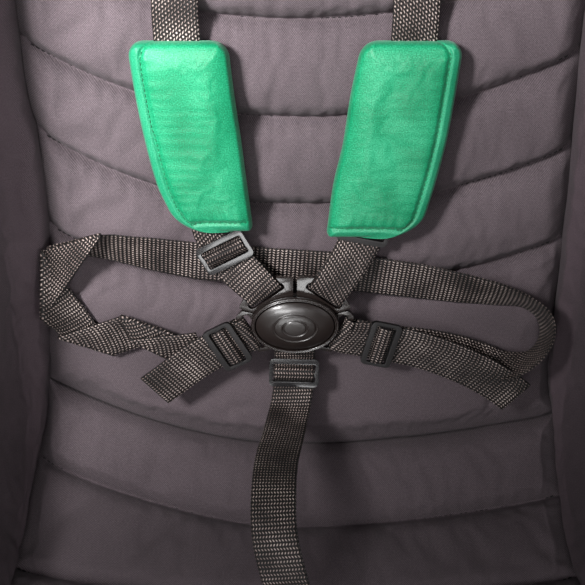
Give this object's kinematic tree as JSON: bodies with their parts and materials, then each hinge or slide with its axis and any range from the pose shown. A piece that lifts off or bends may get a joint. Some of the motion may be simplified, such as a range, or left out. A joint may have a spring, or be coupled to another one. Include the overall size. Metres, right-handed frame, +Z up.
{
  "type": "convertible car seat",
  "caption": "Padded child car seat: bucket shell rocking on a base, sliding headrest, five-point harness with centre-release buckle and adjusters, extending anchor arms.",
  "frame": {"origin": "middle of the base's footprint, on the underside of the base", "axes": "+Z up, the seated child faces -Y, +X to the right of someone looking at the front of the seat"},
  "size_m": [0.4554, 0.6152, 0.7354],
  "materials": {
    "side_fabric": "woven, matt",
    "pad_fabric": "fine woven, matt",
    "green_satin": "satin",
    "webbing": "ribbed webbing",
    "glide_plastic": "gloss",
    "steel": "plain",
    "buckle_plastic": "satin",
    "release_plastic": "satin",
    "base_plastic": "fine grain",
    "shell_plastic": "fine grain"
  },
  "bodies": {
    "base": {"base_body": "base_plastic", "recline_latch_spring": "steel"},
    "recline_handle": {"recline_handle": "release_plastic"},
    "recline_latch": {"recline_latch_bar": "steel"},
    "seat": {"seat_shell": "shell_plastic", "rocker_left": "shell_plastic", "rocker_right": "shell_plastic", "guide_rod_front": "steel", "guide_rod_rear": "steel", "back_pad": "pad_fabric", "seat_pad": "pad_fabric", "upper_back_pad": "pad_fabric", "bolster_left": "side_fabric", "bolster_right": "side_fabric", "headrest_rack": "shell_plastic", "shoulder_anchor_bar": "steel", "crotch_anchor_bar": "steel", "shoulder_strap_left": "webbing", "shoulder_strap_right": "webbing", "waist_belt": "webbing", "crotch_strap": "webbing", "buckle_housing": "buckle_plastic", "buckle_ring": "buckle_plastic", "buckle_spring": "steel"},
    "headrest": {"headrest_shell": "shell_plastic", "headrest_pad": "pad_fabric", "headrest_carriage": "shell_plastic"},
    "headrest_handle": {"headrest_handle": "release_plastic"},
    "headrest_latch": {"headrest_latch_pin": "steel"},
    "buckle_button": {"buckle_button": "buckle_plastic"},
    "buckle_latch": {"buckle_latch_plate": "steel"},
    "anchor_arm_left": {"anchor_arm_left": "steel"},
    "anchor_pawl_left": {"anchor_pawl_left": "steel"},
    "anchor_release_left": {"anchor_release_left": "release_plastic"},
    "shoulder_tongue_left": {"shoulder_tongue_left": "buckle_plastic"},
    "waist_tongue_left": {"waist_tongue_left": "buckle_plastic"},
    "shoulder_pad_left": {"shoulder_pad_left": "green_satin"},
    "anchor_arm_right": {"anchor_arm_right": "steel"},
    "anchor_pawl_right": {"anchor_pawl_right": "steel"},
    "anchor_release_right": {"anchor_release_right": "release_plastic"},
    "shoulder_tongue_right": {"shoulder_tongue_right": "buckle_plastic"},
    "waist_tongue_right": {"waist_tongue_right": "buckle_plastic"},
    "shoulder_pad_right": {"shoulder_pad_right": "green_satin"},
    "tri_glide_shoulder_left": {"tri_glide_shoulder_left": "glide_plastic"},
    "tri_glide_shoulder_right": {"tri_glide_shoulder_right": "glide_plastic"},
    "tri_glide_waist_left": {"tri_glide_waist_left": "glide_plastic"},
    "tri_glide_waist_right": {"tri_glide_waist_right": "glide_plastic"},
    "tri_glide_crotch": {"tri_glide_crotch": "glide_plastic"}
  },
  "joints": [
    {"name": "shell_recline", "type": "hinge", "parent": "base", "child": "seat", "pos_m": [0, -0.01, 0.47], "axis": [-1, 0, 0], "range_deg": [0, 18]},
    {"name": "recline_handle_push", "type": "slide", "parent": "base", "child": "recline_handle", "axis": [0, 1, 0], "range_m": [0, 0.015]},
    {"name": "recline_latch_rise", "type": "slide", "parent": "base", "child": "recline_latch", "axis": [0, 0.5, 0.866], "range_m": [0, 0.012], "deforming": ["recline_latch_spring"]},
    {"name": "headrest_slide", "type": "slide", "parent": "seat", "child": "headrest", "axis": [0, 0.3746, 0.9272], "range_m": [0, 0.12]},
    {"name": "headrest_handle_drop", "type": "slide", "parent": "headrest", "child": "headrest_handle", "axis": [0, -0.3746, -0.9272], "range_m": [0, 0.008]},
    {"name": "headrest_latch_engage", "type": "slide", "parent": "headrest", "child": "headrest_latch", "axis": [1, 0, 0], "range_m": [0, 0.0052]},
    {"name": "buckle_button_press", "type": "slide", "parent": "seat", "child": "buckle_button", "axis": [0, 0.9272, -0.3746], "range_m": [0, 0.003]},
    {"name": "buckle_latch_drop", "type": "slide", "parent": "seat", "child": "buckle_latch", "axis": [0, 0.9272, -0.3746], "range_m": [0, 0.003], "deforming": ["buckle_spring"]},
    {"name": "anchor_arm_left_extend", "type": "slide", "parent": "base", "child": "anchor_arm_left", "axis": [0, 1, 0], "range_m": [0, 0.09]},
    {"name": "anchor_release_left_slide", "type": "slide", "parent": "anchor_arm_left", "child": "anchor_release_left", "axis": [0, 1, 0], "range_m": [0, 0.008]},
    {"name": "anchor_pawl_left_lift", "type": "slide", "parent": "anchor_arm_left", "child": "anchor_pawl_left", "axis": [0, 0, 1], "range_m": [0, 0.008]},
    {"name": "shoulder_tongue_left_pull", "type": "slide", "parent": "seat", "child": "shoulder_tongue_left", "axis": [-0.6, 0.2997, 0.7417], "range_m": [0, 0.012], "deforming": ["shoulder_strap_left"]},
    {"name": "waist_tongue_left_pull", "type": "slide", "parent": "seat", "child": "waist_tongue_left", "axis": [-0.8772, -0.1799, -0.4452], "range_m": [0, 0.012], "deforming": ["waist_belt"]},
    {"name": "shoulder_pad_left_slide", "type": "slide", "parent": "seat", "child": "shoulder_pad_left", "axis": [-0.1203, 0.3719, 0.9204], "range_m": [0, 0.02], "deforming": ["shoulder_strap_left"]},
    {"name": "anchor_arm_right_extend", "type": "slide", "parent": "base", "child": "anchor_arm_right", "axis": [0, 1, 0], "range_m": [0, 0.09]},
    {"name": "anchor_release_right_slide", "type": "slide", "parent": "anchor_arm_right", "child": "anchor_release_right", "axis": [0, 1, 0], "range_m": [0, 0.008]},
    {"name": "anchor_pawl_right_lift", "type": "slide", "parent": "anchor_arm_right", "child": "anchor_pawl_right", "axis": [0, 0, 1], "range_m": [0, 0.008]},
    {"name": "shoulder_tongue_right_pull", "type": "slide", "parent": "seat", "child": "shoulder_tongue_right", "axis": [0.6, 0.2997, 0.7417], "range_m": [0, 0.012], "deforming": ["shoulder_strap_right"]},
    {"name": "waist_tongue_right_pull", "type": "slide", "parent": "seat", "child": "waist_tongue_right", "axis": [0.8772, -0.1799, -0.4452], "range_m": [0, 0.012], "deforming": ["waist_belt"]},
    {"name": "shoulder_pad_right_slide", "type": "slide", "parent": "seat", "child": "shoulder_pad_right", "axis": [0.1203, 0.3719, 0.9204], "range_m": [0, 0.02], "deforming": ["shoulder_strap_right"]},
    {"name": "tri_glide_shoulder_left_slide", "type": "slide", "parent": "seat", "child": "tri_glide_shoulder_left", "axis": [-0.4839, 0.3826, 0.7871], "range_m": [-0.008, 0.002], "deforming": ["shoulder_strap_left"]},
    {"name": "tri_glide_shoulder_right_slide", "type": "slide", "parent": "seat", "child": "tri_glide_shoulder_right", "axis": [0.2097, 0.4121, 0.8867], "range_m": [-0.012, 0.001], "deforming": ["shoulder_strap_right"]},
    {"name": "tri_glide_waist_left_slide", "type": "slide", "parent": "seat", "child": "tri_glide_waist_left", "axis": [-0.877, -0.1984, -0.4376], "range_m": [0, 0.012], "deforming": ["waist_belt"]},
    {"name": "tri_glide_waist_right_slide", "type": "slide", "parent": "seat", "child": "tri_glide_waist_right", "axis": [0.9695, -0.0435, -0.2411], "range_m": [0, 0.012], "deforming": ["waist_belt"]},
    {"name": "tri_glide_crotch_slide", "type": "slide", "parent": "seat", "child": "tri_glide_crotch", "axis": [-0.03, -0.5861, -0.8097], "range_m": [0, 0.012], "deforming": ["crotch_strap"]}
  ],
  "couplings": [
    {"joint": "recline_latch_rise", "follows": "recline_handle_push", "ratio": 0.8},
    {"joint": "headrest_latch_engage", "follows": "headrest_handle_drop", "ratio": 0.65},
    {"joint": "buckle_latch_drop", "follows": "buckle_button_press", "ratio": 1},
    {"joint": "anchor_pawl_left_lift", "follows": "anchor_release_left_slide", "ratio": 1},
    {"joint": "anchor_pawl_right_lift", "follows": "anchor_release_right_slide", "ratio": 1}
  ]
}
